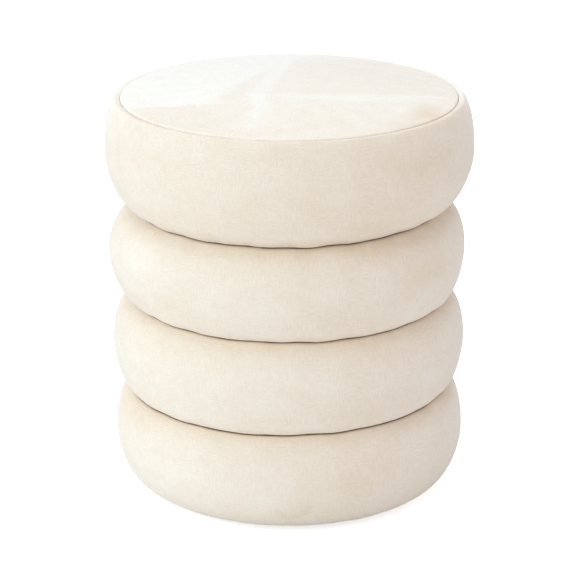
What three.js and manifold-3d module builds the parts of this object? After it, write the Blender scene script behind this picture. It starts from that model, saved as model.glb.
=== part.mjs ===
// A round velvet pouf of four padded tiers, stacked into one seat.
//
// Units are millimetres, +Z is up, and the origin is on the floor at the centre of the base.
//
// The core is two plywood discs on four pine posts, inside a hardboard wrap. Three foam rings are
// glued round the wrap, and a thick foam seat lies on the upper disc. Each tier has its own velvet
// band. The bands' edges are turned in between two foam rings and drawn against the core by a cord,
// which makes the three creases. A velvet panel closes the seat along a sewn seam. The lowest band
// is turned in under the base as a hem. A dust cover hides the hem's edge, staples hold both to the
// lower disc, and the pouf stands on four screwed glides.

import * as THREE from "three";
import { mergeVertices } from "three/addons/utils/BufferGeometryUtils.js";
import Module from "manifold-3d";

const wasm = await Module();
wasm.setup();

// ---------------------------------------------------------------- driving sizes

const BOTTOM_TIER_HEIGHT = 105; // from the floor to the lower crease
const THIRD_TIER_HEIGHT = 92;
const SECOND_TIER_HEIGHT = 91;
const SEAT_TIER_HEIGHT = 107; // from the upper crease to the seat's seam
const SEAT_CROWN = 10; // rise of the seat's middle above its seam

const CORE_RADIUS = 126; // outside of the hardboard wrap
const SEAM_ALLOWANCE = 18; // width of velvet turned in at a crease
const TIER_BULGE = 26.4; // a lower tier's widest point, beyond the bottom of its crease
const SEAT_BULGE = 32.4; // the same for the seat tier, which is the widest
const SEAM_INSET = 17; // from the seat's widest point in to its seam
const BASE_MARGIN = 4; // from the core out to where the bottom tier begins to rise
const HEM_WIDTH = 18; // velvet turned under the base

const VELVET_THICKNESS = 1.6;
const WADDING_THICKNESS = 6;
const WADDING_EDGE = 0.6; // the wadding thins to this at the seat's widest point
const DUST_COVER_THICKNESS = 0.6;
const DUST_COVER_INSET = 8; // from the turn of the hem in to the dust cover's edge
const CORD_DIAMETER = 3;
const THREAD_DIAMETER = 1;

const BOARD_THICKNESS = 12;
const WRAP_WALL = 3;
const POST_SIDE = 24;
const POST_COUNT = 4;

const GLIDE_DIAMETER = 24;
const GLIDE_HEIGHT = 3;
const GLIDE_CHAMFER = 0.8;
const GLIDE_COUNT = 4;
const GLIDE_MARGIN = 2; // from the hem's inner edge to a glide

const FRAME_SCREW = { length: 40, shank: 4, head: 8 };
const GLIDE_SCREW = { length: 14, shank: 3.5, head: 7 };
const GLIDE_SCREW_RECESS = 0.6; // a glide screw's head above the floor

const STAPLE_COUNT = 12;
const STAPLE_WIDTH = 12;
const STAPLE_LEG = 9; // from the underside of its crown to its points
const STAPLE_WIRE = 0.7;

const GAP = 0.3; // clearance between neighbouring pieces

// ---------------------------------------------------------------- fineness of the surfaces

const AROUND = 40; // sides of everything turned about the pouf's axis
const QUARTER_STEPS = 4; // steps from a tier's edge to its widest point
const CROWN_STEPS = 3; // steps from the middle of the seat to its seam
const CORD_SIDES = 6;
const GLIDE_SIDES = 20;
const SCREW_SIDES = 8;
const BOOLEAN_OVERRUN = 1; // how far a cutting tool stands out of the face that it enters

// ---------------------------------------------------------------- heights and radii worked out

const lowerCrease = BOTTOM_TIER_HEIGHT;
const middleCrease = lowerCrease + THIRD_TIER_HEIGHT;
const upperCrease = middleCrease + SECOND_TIER_HEIGHT;
const seamHeight = upperCrease + SEAT_TIER_HEIGHT;

// Half the slot between two foam rings: the cord and the two turned-in edges lie in it.
const creaseHalf = Math.max(CORD_DIAMETER / 2, GAP / 2 + VELVET_THICKNESS) + GAP;

const cordRadius = CORE_RADIUS + GAP + CORD_DIAMETER / 2;
const flangeRadius = cordRadius + CORD_DIAMETER / 2 + GAP; // inner edge of a turned-in band
const creaseRadius = flangeRadius + SEAM_ALLOWANCE;
const tierRadius = creaseRadius + TIER_BULGE;
const seatRadius = creaseRadius + SEAT_BULGE;
const seamRadius = seatRadius - SEAM_INSET;
const seamGroove = THREAD_DIAMETER / 2 + GAP; // half the width between the panel and the band
const foamBore = CORE_RADIUS + GAP;

const dustCoverBottom = GLIDE_HEIGHT + GAP;
const hemBottom = dustCoverBottom + DUST_COVER_THICKNESS + GAP;
const hemTop = hemBottom + VELVET_THICKNESS;
const baseBoardBottom = hemTop + GAP;
const baseBoardTop = baseBoardBottom + BOARD_THICKNESS;
const seatBoardTop = upperCrease + creaseHalf - GAP;
const seatBoardBottom = seatBoardTop - BOARD_THICKNESS;

const baseTurnRadius = CORE_RADIUS + BASE_MARGIN;
const hemRadius = baseTurnRadius - HEM_WIDTH;
const dustCoverRadius = baseTurnRadius - DUST_COVER_INSET;
const boardRadius = CORE_RADIUS - WRAP_WALL - GAP;
const glideCircle = hemRadius - GLIDE_MARGIN - GLIDE_DIAMETER / 2;
const stapleCircle = (hemRadius + dustCoverRadius) / 2; // where the dust cover lies over the hem
const stapleBottom = dustCoverBottom - GAP - STAPLE_WIRE;

// A post's outer corners stay a gap inside the wrap, whose flat sides are nearer than its corners.
const wrapReach = boardRadius * Math.cos(Math.PI / AROUND) - GAP;
const postCircle = Math.sqrt(wrapReach ** 2 - (POST_SIDE / 2) ** 2) - POST_SIDE / 2;

// ---------------------------------------------------------------- materials

const finish = (color, roughness, metalness = 0) =>
  new THREE.MeshStandardMaterial({ color, roughness, metalness });

const materials = {
  velvet: finish(0xeee2d0, 0.9),
  thread: finish(0xd9cbb4, 0.7),
  wadding: finish(0xf7f6f2, 1),
  foam: finish(0xf0e3b0, 1),
  cord: finish(0xe6e0d2, 0.9),
  plywood: finish(0xcda878, 0.7),
  pine: finish(0xe0c08c, 0.7),
  hardboard: finish(0x8a6542, 0.6),
  dustCover: finish(0x1c1c1e, 0.95),
  glide: finish(0x26262a, 0.45),
  screw: finish(0xb8b4a4, 0.35, 1),
  staple: finish(0xc6c8ca, 0.3, 1),
};

// ---------------------------------------------------------------- shape helpers

const pouf = new THREE.Group();

function addMesh(name, geometry, material) {
  const mesh = new THREE.Mesh(geometry, material);
  mesh.name = name;
  pouf.add(mesh);
}

/** Turns an outline of (radius, height) points about +Z. It starts and ends on the axis. */
function turned(outline, sides = AROUND) {
  const geometry = new THREE.LatheGeometry(
    outline.map(([radius, height]) => new THREE.Vector2(radius, height)),
    sides,
  );
  return geometry.rotateX(Math.PI / 2);
}

/** The same for an outline clear of the axis, closed on itself to make a ring. */
const turnedRing = (outline, sides) => turned([...outline, outline[0]], sides);

/** A padded side from its foot, out to its widest point and in again to its head. */
function bulge(foot, widest, head) {
  const points = [];
  for (let i = 0; i < QUARTER_STEPS; i++) {
    const turn = (i / QUARTER_STEPS) * (Math.PI / 2);
    points.push([
      foot[0] + (widest[0] - foot[0]) * Math.sin(turn),
      widest[1] - (widest[1] - foot[1]) * Math.cos(turn),
    ]);
  }
  return [...points, ...shoulder(widest, head)];
}

/** The upper quarter of a padded side, from its widest point to its head. */
function shoulder(widest, head) {
  const points = [];
  for (let i = 0; i <= QUARTER_STEPS; i++) {
    const turn = (i / QUARTER_STEPS) * (Math.PI / 2);
    points.push([
      head[0] + (widest[0] - head[0]) * Math.cos(turn),
      widest[1] + (head[1] - widest[1]) * Math.sin(turn),
    ]);
  }
  return points;
}

/** The seat's crown from an outer radius in to the axis, over a given height of the seam. */
function crown(outerRadius, height) {
  const points = [];
  for (let i = CROWN_STEPS; i >= 0; i--) {
    const radius = outerRadius * (i / CROWN_STEPS);
    points.push([radius, height + SEAT_CROWN * (1 - (radius / seamRadius) ** 2)]);
  }
  return points;
}

function toSolid(geometry) {
  const bare = geometry.clone();
  bare.deleteAttribute("normal");
  bare.deleteAttribute("uv");
  const merged = mergeVertices(bare);
  return new wasm.Manifold(
    new wasm.Mesh({
      numProp: 3,
      vertProperties: merged.attributes.position.array,
      triVerts: new Uint32Array(merged.index.array),
    }),
  );
}

/** A geometry with the given tools cut out of it. */
function cut(geometry, tools) {
  const left = tools.reduce((body, tool) => body.subtract(toSolid(tool)), toSolid(geometry));
  const mesh = left.getMesh();
  return new THREE.BufferGeometry()
    .setAttribute("position", new THREE.BufferAttribute(mesh.vertProperties, 3))
    .setIndex(new THREE.BufferAttribute(mesh.triVerts, 1));
}

/** The places of a count of pieces on a circle, starting part of a step round from +X. */
function places(count, radius, startShare = 0) {
  return Array.from({ length: count }, (_, i) => {
    const angle = ((i + startShare) / count) * 2 * Math.PI;
    return [radius * Math.cos(angle), radius * Math.sin(angle)];
  });
}

// ---------------------------------------------------------------- velvet cover

/** A band round one tier. Its flanges are turned in to the given radii at foot and head. */
function band(foot, widest, head, footFlange, headFlange) {
  const inner = (point) => [point[0] - VELVET_THICKNESS, point[1]];
  const outside = bulge(foot, widest, head);
  const inside = bulge(
    [foot[0], foot[1] + VELVET_THICKNESS],
    inner(widest),
    [head[0], head[1] - VELVET_THICKNESS],
  ).reverse();
  const outline = [
    [footFlange, foot[1]],
    ...outside,
    ...(headFlange === undefined ? [] : [
      [headFlange, head[1]],
      [headFlange, head[1] - VELVET_THICKNESS],
    ]),
    ...inside,
    [footFlange, foot[1] + VELVET_THICKNESS],
  ];
  return turnedRing(outline);
}

function addVelvet() {
  const bottomBand = band(
    [baseTurnRadius, hemBottom],
    [tierRadius, (hemBottom + lowerCrease) / 2],
    [creaseRadius, lowerCrease - GAP / 2],
    hemRadius,
    flangeRadius,
  );
  addMesh("bottom_band", cut(bottomBand, stapleHoles()), materials.velvet);

  for (const [name, low, high] of [
    ["third_band", lowerCrease, middleCrease],
    ["second_band", middleCrease, upperCrease],
  ]) {
    const middleBand = band(
      [creaseRadius, low + GAP / 2],
      [tierRadius, (low + high) / 2],
      [creaseRadius, high - GAP / 2],
      flangeRadius,
      flangeRadius,
    );
    addMesh(name, middleBand, materials.velvet);
  }

  const seatBand = band(
    [creaseRadius, upperCrease + GAP / 2],
    [seatRadius, (upperCrease + seamHeight) / 2],
    [seamRadius + seamGroove, seamHeight],
    flangeRadius,
  );
  addMesh("seat_band", seatBand, materials.velvet);

  const panelEdge = seamRadius - seamGroove;
  const panelOutline = [
    ...crown(panelEdge, seamHeight - VELVET_THICKNESS).reverse(),
    ...crown(panelEdge, seamHeight),
  ];
  addMesh("seat_panel", turned(panelOutline), materials.velvet);
}

/** A cord or thread closed in a ring about the pouf's axis. */
function cordRing(name, radius, height, diameter, material) {
  const outline = places(CORD_SIDES, diameter / 2).map(([x, y]) => [radius + x, height + y]);
  addMesh(name, turnedRing(outline), material);
}

function addCords() {
  cordRing("lower_crease_cord", cordRadius, lowerCrease, CORD_DIAMETER, materials.cord);
  cordRing("middle_crease_cord", cordRadius, middleCrease, CORD_DIAMETER, materials.cord);
  cordRing("upper_crease_cord", cordRadius, upperCrease, CORD_DIAMETER, materials.cord);
  const threadHeight = seamHeight - VELVET_THICKNESS / 2;
  cordRing("seat_seam_thread", seamRadius, threadHeight, THREAD_DIAMETER, materials.thread);
}

// ---------------------------------------------------------------- padding

/** A foam ring glued round the core, between the heights of its flat faces. */
function foamRing(name, low, high, footRadius) {
  const widest = [tierRadius - VELVET_THICKNESS - GAP, (low + high) / 2];
  const outline = [
    [foamBore, low],
    ...bulge([footRadius, low], widest, [creaseRadius, high]),
    [foamBore, high],
  ];
  addMesh(name, turnedRing(outline), materials.foam);
}

function addPadding() {
  foamRing("bottom_foam_ring", hemTop + GAP, lowerCrease - creaseHalf, baseTurnRadius);
  foamRing(
    "third_foam_ring",
    lowerCrease + creaseHalf,
    middleCrease - creaseHalf,
    creaseRadius,
  );
  foamRing(
    "second_foam_ring",
    middleCrease + creaseHalf,
    upperCrease - creaseHalf,
    creaseRadius,
  );

  const widestHeight = (upperCrease + seamHeight) / 2;
  const waddingTop = seamHeight - VELVET_THICKNESS - GAP;
  const waddingBottom = waddingTop - WADDING_THICKNESS;
  const waddingRadius = seatRadius - VELVET_THICKNESS - GAP;
  const waddingOutline = [
    ...shoulder([waddingRadius, widestHeight], [seamRadius, waddingTop]),
    ...crown(seamRadius, waddingTop).slice(1),
    ...crown(seamRadius, waddingBottom).slice(1).reverse(),
    ...shoulder([waddingRadius - WADDING_EDGE, widestHeight], [seamRadius, waddingBottom]).reverse(),
  ];
  addMesh("seat_wadding", turnedRing(waddingOutline), materials.wadding);

  const foamBottom = upperCrease + creaseHalf;
  const foamTop = waddingBottom - GAP;
  const foamOutline = [
    [0, foamBottom],
    ...bulge(
      [creaseRadius, foamBottom],
      [waddingRadius - WADDING_EDGE - GAP, widestHeight],
      [seamRadius, foamTop],
    ),
    ...crown(seamRadius, foamTop).slice(1),
  ];
  addMesh("seat_foam", turned(foamOutline), materials.foam);
}

// ---------------------------------------------------------------- screws

/** A countersunk screw pointing down, with the top of its head at height 0. */
function screwGeometry({ length, shank, head }) {
  const outline = [
    [0, -length],
    [shank / 2, -length + shank],
    [shank / 2, (shank - head) / 2],
    [head / 2, 0],
    [0, 0],
  ];
  return turned(outline, SCREW_SIDES);
}

/** The hole that such a screw needs, open above its head. */
function screwHole({ length, shank, head }) {
  const outline = [
    [0, -length - GAP],
    [shank / 2 + GAP, -length - GAP],
    [shank / 2 + GAP, (shank - head) / 2],
    [head / 2 + GAP, 0],
    [head / 2 + GAP, BOOLEAN_OVERRUN],
    [0, BOOLEAN_OVERRUN],
  ];
  return turned(outline, SCREW_SIDES);
}

const pointingDown = (geometry, [x, y], z) => geometry.translate(x, y, z);
const pointingUp = (geometry, [x, y], z) => geometry.rotateX(Math.PI).translate(x, y, z);

const postPlaces = places(POST_COUNT, postCircle, 0.5);
const glidePlaces = places(GLIDE_COUNT, glideCircle);

function addScrews() {
  postPlaces.forEach((place, i) => {
    const fromAbove = pointingDown(screwGeometry(FRAME_SCREW), place, seatBoardTop);
    const fromBelow = pointingUp(screwGeometry(FRAME_SCREW), place, baseBoardBottom);
    addMesh(`seat_board_screw_${i + 1}`, fromAbove, materials.screw);
    addMesh(`base_board_screw_${i + 1}`, fromBelow, materials.screw);
  });
  glidePlaces.forEach((place, i) => {
    const fromBelow = pointingUp(screwGeometry(GLIDE_SCREW), place, GLIDE_SCREW_RECESS);
    addMesh(`glide_screw_${i + 1}`, fromBelow, materials.screw);
  });
}

const seatBoardHoles = () =>
  postPlaces.map((place) => pointingDown(screwHole(FRAME_SCREW), place, seatBoardTop));
const baseBoardHoles = () =>
  postPlaces.map((place) => pointingUp(screwHole(FRAME_SCREW), place, baseBoardBottom));
const glideHoles = () =>
  glidePlaces.map((place) => pointingUp(screwHole(GLIDE_SCREW), place, GLIDE_SCREW_RECESS));

// ---------------------------------------------------------------- staples

/** The place and angle of each staple, half a step round from the first glide. */
const staples = places(STAPLE_COUNT, stapleCircle, 0.5).map((place) => ({
  place,
  angle: Math.atan2(place[1], place[0]),
}));

/** Turns a piece made along +X to lie across the radius at a staple's place. */
const atStaple = (geometry, { place, angle }) =>
  geometry.rotateZ(angle + Math.PI / 2).translate(...place, stapleBottom);

/** A staple seen from the side as an upright U, with its crown at height 0. */
function stapleGeometry() {
  const half = STAPLE_WIDTH / 2;
  const outline = new THREE.Shape([
    new THREE.Vector2(-half, 0),
    new THREE.Vector2(half, 0),
    new THREE.Vector2(half, STAPLE_LEG),
    new THREE.Vector2(half - STAPLE_WIRE, STAPLE_LEG),
    new THREE.Vector2(half - STAPLE_WIRE, STAPLE_WIRE),
    new THREE.Vector2(STAPLE_WIRE - half, STAPLE_WIRE),
    new THREE.Vector2(STAPLE_WIRE - half, STAPLE_LEG),
    new THREE.Vector2(-half, STAPLE_LEG),
  ]);
  return new THREE.ExtrudeGeometry(outline, { depth: STAPLE_WIRE, bevelEnabled: false })
    .translate(0, 0, -STAPLE_WIRE / 2)
    .rotateX(Math.PI / 2);
}

function addStaples() {
  staples.forEach((staple, i) => {
    addMesh(`base_staple_${i + 1}`, atStaple(stapleGeometry(), staple), materials.staple);
  });
}

/** The holes that all the staples' legs make. */
const stapleHoles = () =>
  staples.flatMap((staple) =>
    [-1, 1].map((side) => {
      const hole = new THREE.BoxGeometry(
        STAPLE_WIRE + 2 * GAP,
        STAPLE_WIRE + 2 * GAP,
        STAPLE_LEG + GAP,
      );
      hole.translate((side * (STAPLE_WIDTH - STAPLE_WIRE)) / 2, 0, (STAPLE_LEG + GAP) / 2);
      return atStaple(hole, staple);
    }),
  );

// ---------------------------------------------------------------- core

/** A disc about the pouf's axis. */
function disc(radius, low, high) {
  return turned([[0, low], [radius, low], [radius, high], [0, high]]);
}

function addCore() {
  const seatBoard = disc(boardRadius, seatBoardBottom, seatBoardTop);
  addMesh("seat_board", cut(seatBoard, seatBoardHoles()), materials.plywood);

  const baseBoard = disc(boardRadius, baseBoardBottom, baseBoardTop);
  const baseHoles = [...baseBoardHoles(), ...glideHoles(), ...stapleHoles()];
  addMesh("base_board", cut(baseBoard, baseHoles), materials.plywood);

  const wrapBore = CORE_RADIUS - WRAP_WALL;
  const wrapOutline = [
    [wrapBore, baseBoardBottom],
    [CORE_RADIUS, baseBoardBottom],
    [CORE_RADIUS, seatBoardTop],
    [wrapBore, seatBoardTop],
  ];
  addMesh("core_wrap", turnedRing(wrapOutline), materials.hardboard);

  const postBottom = baseBoardTop + GAP;
  const postLength = seatBoardBottom - GAP - postBottom;
  postPlaces.forEach(([x, y], i) => {
    const post = new THREE.BoxGeometry(POST_SIDE, POST_SIDE, postLength)
      .rotateZ(Math.atan2(y, x))
      .translate(x, y, postBottom + postLength / 2);
    const drilled = cut(post, [seatBoardHoles()[i], baseBoardHoles()[i]]);
    addMesh(`post_${i + 1}`, drilled, materials.pine);
  });
}

// ---------------------------------------------------------------- underside

function addUnderside() {
  const dustCover = disc(
    dustCoverRadius,
    dustCoverBottom,
    dustCoverBottom + DUST_COVER_THICKNESS,
  );
  addMesh(
    "dust_cover",
    cut(dustCover, [...glideHoles(), ...stapleHoles()]),
    materials.dustCover,
  );

  const glide = turned(
    [
      [0, 0],
      [GLIDE_DIAMETER / 2 - GLIDE_CHAMFER, 0],
      [GLIDE_DIAMETER / 2, GLIDE_CHAMFER],
      [GLIDE_DIAMETER / 2, GLIDE_HEIGHT],
      [0, GLIDE_HEIGHT],
    ],
    GLIDE_SIDES,
  );
  glidePlaces.forEach(([x, y], i) => {
    const drilled = cut(glide.clone().translate(x, y, 0), [glideHoles()[i]]);
    addMesh(`glide_${i + 1}`, drilled, materials.glide);
  });
}

addVelvet();
addCords();
addPadding();
addCore();
addScrews();
addStaples();
addUnderside();

export default pouf;
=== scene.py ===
"""A round velvet pouf of four padded tiers: its upholstery, made around the CAD frame.

Everything is in metres, +Z up, in the frame's own coordinates. The CAD holds the core, the screws,
staples and glides. This script makes the soft pieces over them (velvet, foam, wadding, cords,
stitches and the cloth under the base) and gives the CAD pieces their finishes.
"""

import math

import bpy
import numpy as np
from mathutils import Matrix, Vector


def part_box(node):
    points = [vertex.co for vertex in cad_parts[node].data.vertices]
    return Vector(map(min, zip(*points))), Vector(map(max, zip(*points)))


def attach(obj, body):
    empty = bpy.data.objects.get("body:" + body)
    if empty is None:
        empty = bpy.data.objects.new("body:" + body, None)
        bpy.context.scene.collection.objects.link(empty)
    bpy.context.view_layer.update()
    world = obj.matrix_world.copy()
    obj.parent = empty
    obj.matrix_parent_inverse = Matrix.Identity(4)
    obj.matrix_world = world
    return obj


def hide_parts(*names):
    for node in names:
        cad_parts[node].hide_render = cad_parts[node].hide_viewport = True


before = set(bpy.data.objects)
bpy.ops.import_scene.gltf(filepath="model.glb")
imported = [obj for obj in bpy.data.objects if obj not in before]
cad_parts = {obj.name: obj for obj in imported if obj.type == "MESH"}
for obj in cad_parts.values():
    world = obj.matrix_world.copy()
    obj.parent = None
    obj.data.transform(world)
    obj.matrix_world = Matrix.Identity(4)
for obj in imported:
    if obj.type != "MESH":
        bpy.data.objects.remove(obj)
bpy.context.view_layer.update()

# ------ sizes from the frame

MM = 0.001


def low(node):
    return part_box(node)[0]


def high(node):
    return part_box(node)[1]


# Heights of the creases between the tiers, from the bottom up.
CREASES = [(low(f"{where}_crease_cord").z + high(f"{where}_crease_cord").z) / 2
           for where in ("lower", "middle", "upper")]
LOWER, MIDDLE, UPPER = range(3)
SEAM_HEIGHT = high("seat_band").z
CROWN_HEIGHT = high("seat_panel").z
HEM_HEIGHT = low("bottom_band").z
TIER_RADIUS = high("second_band").x
SEAT_RADIUS = high("seat_band").x
CORE_RADIUS = high("core_wrap").x
CORD_RADIUS = (high("upper_crease_cord").x + CORE_RADIUS) / 2
DUST_COVER_RADIUS = high("dust_cover").x
SEAM_RADIUS = high("seat_seam_thread").x - 0.5 * MM  # the middle of the seam's groove

# ------ sizes of the upholstery

VELVET_THICKNESS = 1.6 * MM
TURNED_IN = high("upper_crease_cord").x + 0.4 * MM  # radius at which a band's turned-in edge ends
CREASE_GAP = 0.25 * MM  # half the space between two tiers where they touch
CREASE_RADII = (154.5 * MM, 151 * MM, 145 * MM)  # where the velvet of two tiers meets
CREASE_SLOPES = (0.0098, 0.0033, 0.0101)  # rise of each crease towards +X
CREASE_WAVE = 0.5 * MM  # how far a crease wanders up and down
LEVEL_WIDTH = 14 * MM  # how far out from the core the creases come to their full tilt
BASE_TURN = 137 * MM  # radius at which the bottom tier turns under
FOAM_INSET = VELVET_THICKNESS + 0.5 * MM  # from the velvet's outside to the foam, in the creases
FOAM_EASE = 2.8 * MM  # how much further in it lies where the velvet swells
WADDING_THICKNESS = 6 * MM
WADDING_EDGE = 0.8 * MM  # how thin it runs out at the tier's widest
WADDING_GAP = 0.6 * MM  # from the wadding to the foam
GLUE_GAP = 0.3 * MM  # from the foam to the core
SEAM_ALLOWANCE = 3.2 * MM  # room for the turned-in edges under the seam
CELL = 5 * MM  # size of the velvet's mesh before it is subdivided
VELVET_STEPS = 216  # divisions of the velvet about the pouf's axis
FOAM_STEPS = 108
HEM_TURNED_IN = 10 * MM  # how far the hem runs in under the dust cover's edge

# ------ modelling helpers


def nothing_selected():
    bpy.ops.object.select_all(action="DESELECT")


def only(piece):
    nothing_selected()
    piece.select_set(True)
    bpy.context.view_layer.objects.active = piece


def turn_profile(name, outline, steps):
    """Draws an outline of (radius, height) points by extruding one vertex, and spins it about +Z."""
    nothing_selected()
    bpy.ops.mesh.primitive_plane_add(size=1 * MM, location=(0, 0, 0))
    piece = bpy.context.object
    piece.name = name
    piece.data.name = name
    bpy.ops.object.mode_set(mode="EDIT")
    bpy.ops.mesh.select_mode(type="VERT")
    bpy.ops.mesh.select_all(action="SELECT")
    bpy.ops.mesh.merge(type="CENTER")
    bpy.ops.transform.translate(value=(outline[0][0], 0, outline[0][1]))
    for (r0, z0), (r1, z1) in zip(outline, outline[1:]):
        bpy.ops.mesh.extrude_region_move(TRANSFORM_OT_translate={"value": (r1 - r0, 0, z1 - z0)})
    bpy.ops.mesh.select_all(action="SELECT")
    bpy.ops.mesh.spin(steps=steps, angle=2 * math.pi, center=(0, 0, 0), axis=(0, 0, 1))
    bpy.ops.mesh.select_all(action="SELECT")
    bpy.ops.mesh.remove_doubles(threshold=0.01 * MM)
    bpy.ops.mesh.normals_make_consistent(inside=False)
    bpy.ops.object.mode_set(mode="OBJECT")
    bpy.ops.object.shade_smooth()
    return piece


def points_of(piece):
    found = np.empty(len(piece.data.vertices) * 3)
    piece.data.vertices.foreach_get("co", found)
    return found.reshape(-1, 3)


def put_points(piece, places):
    piece.data.vertices.foreach_set("co", places.ravel())
    piece.data.update()


def normals_of(piece):
    found = np.empty(len(piece.data.vertices) * 3)
    piece.data.vertices.foreach_get("normal", found)
    return found.reshape(-1, 3)


def radius_of(places):
    return np.hypot(places[:, 0], places[:, 1])


def apply_modifier(piece, kind, **settings):
    only(piece)
    bpy.ops.object.modifier_add(type=kind)
    modifier = piece.modifiers[-1]
    for key, value in settings.items():
        setattr(modifier, key, value)
    bpy.ops.object.modifier_apply(modifier=modifier.name)


def ready(piece, slot, *nodes):
    """Says what a finished piece is: what it rides on and the CAD nodes it stands for, which it hides.
    The slot, its finish, is not used.
    """
    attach(piece, "root")
    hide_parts(*nodes)


# ------ curves


def straight(start, end, steps):
    """The places along a straight line, without its end."""
    return [tuple(a + (b - a) * i / steps for a, b in zip(start, end)) for i in range(steps)]


def steps_along(start, end):
    return max(4, round(math.dist(start, end) * 1.15 / CELL))


def lower_side(foot, widest, fullness=1.61, roundness=1.89):
    """A padded side from its foot, which it leaves flat, out to just short of its widest."""
    steps = steps_along(foot, widest)
    points = []
    for i in range(steps):
        turn = i / steps * math.pi / 2
        points.append((
            foot[0] + (widest[0] - foot[0]) * math.sin(turn) ** (2 / roundness),
            widest[1] - (widest[1] - foot[1]) * math.cos(turn) ** (2 / fullness),
        ))
    return points


def upper_side(widest, head, fullness=2.07, roundness=2.10):
    """A padded side from its widest in to its head, where it ends flat."""
    steps = steps_along(widest, head)
    points = []
    for i in range(steps + 1):
        turn = i / steps * math.pi / 2
        points.append((
            head[0] + (widest[0] - head[0]) * max(math.cos(turn), 0) ** (2 / roundness),
            widest[1] + (head[1] - widest[1]) * math.sin(turn) ** (2 / fullness),
        ))
    return points


def inset(outline, distance):
    """An outline moved into the padding, square to itself. Outlines run from foot to head."""
    places = np.array(outline)
    along = np.gradient(places, axis=0)
    along /= np.linalg.norm(along, axis=1, keepdims=True)
    inward = np.stack([-along[:, 1], along[:, 0]], axis=1)
    moved = places + inward * np.broadcast_to(distance, len(places))[:, None]
    return [tuple(place) for place in moved]


def waves(angle, seed, counts):
    """A smooth wander round the pouf, about -1 to 1, that meets itself where it began."""
    total = np.zeros_like(angle)
    for i, count in enumerate(counts):
        total += np.sin(count * angle + seed * 1.7 + i * 2.4)
    return total * 1.6 / len(counts)


def ease(value, start, end):
    """0 before start, 1 after end, and a smooth rise between them."""
    share = np.clip((value - start) / (end - start), 0, 1)
    return share * share * (3 - 2 * share)


# ------ creases


def crease_lift(index, x, y):
    """How far a crease lies above its CAD height at a place. It is level against the core."""
    angle = np.arctan2(y, x)
    wander = waves(angle, 3 + index, (7, 12, 19, 25))
    lift = CREASE_SLOPES[index] * x + CREASE_WAVE * wander
    return lift * ease(np.hypot(x, y), TURNED_IN + 1 * MM, TURNED_IN + LEVEL_WIDTH)


def lean_to_creases(piece, foot, head, low_z, high_z, sideways=0.0):
    """Moves the foot and head of a tier to its creases, and all between in step."""
    co = points_of(piece)
    share = np.clip((co[:, 2] - low_z) / (high_z - low_z), 0, 1)
    x, y = co[:, 0].copy(), co[:, 1].copy()
    if foot is not None:
        co[:, 2] += crease_lift(foot, x, y) * (1 - share)
    if head is not None:
        co[:, 2] += crease_lift(head, x, y) * share
    clear_of_core = ease(np.hypot(x, y), TURNED_IN, TURNED_IN + LEVEL_WIDTH)
    co[:, 0] += sideways * np.sin(share * math.pi) * clear_of_core
    put_points(piece, co)


def keep_between(piece, foot, head, gap):
    """Keeps a tier on its own side of the creases, where two tiers lie against each other."""
    co = points_of(piece)
    x, y = co[:, 0], co[:, 1]
    if foot is not None:
        co[:, 2] = np.maximum(co[:, 2], CREASES[foot] + crease_lift(foot, x, y) + gap)
    if head is not None:
        co[:, 2] = np.minimum(co[:, 2], CREASES[head] + crease_lift(head, x, y) - gap)
    put_points(piece, co)


# ------ the tiers' outlines

BELLY = 0.525  # how far up a tier its widest point is
SEAT_BELLY = 0.515
BASE_CURVE = {"fullness": 1.75, "roundness": 1.98}  # how the bottom tier turns under
SEAT_SHOULDER = {"fullness": 2.2, "roundness": 1.5}  # how the seat tier turns in to its seam


def widest_of(radius, foot_z, head_z, share=BELLY):
    return (radius, foot_z + (head_z - foot_z) * share)


def middle_outline(foot, head, radius):
    """The velvet's outside between two creases, with both edges turned in."""
    start = (CREASE_RADII[foot], CREASES[foot])
    end = (CREASE_RADII[head], CREASES[head])
    widest = widest_of(radius, start[1], end[1])
    return (
        straight((TURNED_IN, start[1]), start, 4) + lower_side(start, widest)
        + upper_side(widest, end) + straight(end, (TURNED_IN, end[1]), 4)[1:]
        + [(TURNED_IN, end[1])]
    )


def bottom_outline(radius):
    """The bottom tier's outside, from its hem under the base to its turned-in edge."""
    hem = (DUST_COVER_RADIUS - HEM_TURNED_IN, HEM_HEIGHT)
    start = (BASE_TURN, HEM_HEIGHT)
    end = (CREASE_RADII[LOWER], CREASES[LOWER])
    widest = widest_of(radius, start[1], end[1])
    return (
        straight(hem, start, 5) + lower_side(start, widest, **BASE_CURVE)
        + upper_side(widest, end) + straight(end, (TURNED_IN, end[1]), 5)[1:]
        + [(TURNED_IN, end[1])]
    )


LIP = 5 * MM  # width of the roll on each side of the seat's seam
BAND_LIP_RISE = 0.2 * MM  # how far each roll stands above the seam's height
PANEL_LIP_RISE = 1.0 * MM
PANEL_LIP_DEPTH = 1.7 * MM  # how far the roll dives on the panel's side
BAND_LIP_DEPTH = 1.2 * MM
SEAM_GAP = 0.12 * MM  # half the width of the seam's groove
ALLOWANCE_STEP = 0.8 * MM  # the allowance goes down inside the seam in two such steps


def rolled_edge(start, depth, side):
    """The roll that dives from an edge into the seam, and a short allowance down inside it."""
    bottom = SEAM_RADIUS + side * SEAM_GAP
    points = []
    for i in range(1, 6):
        turn = i / 5 * math.pi / 2
        points.append((
            bottom + (start[0] - bottom) * (1 - math.sin(turn)),
            start[1] - depth * (1 - math.cos(turn)),
        ))
    deepest = points[-1][1]
    return points + [(bottom, deepest - ALLOWANCE_STEP), (bottom, deepest - 2 * ALLOWANCE_STEP)]


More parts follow.
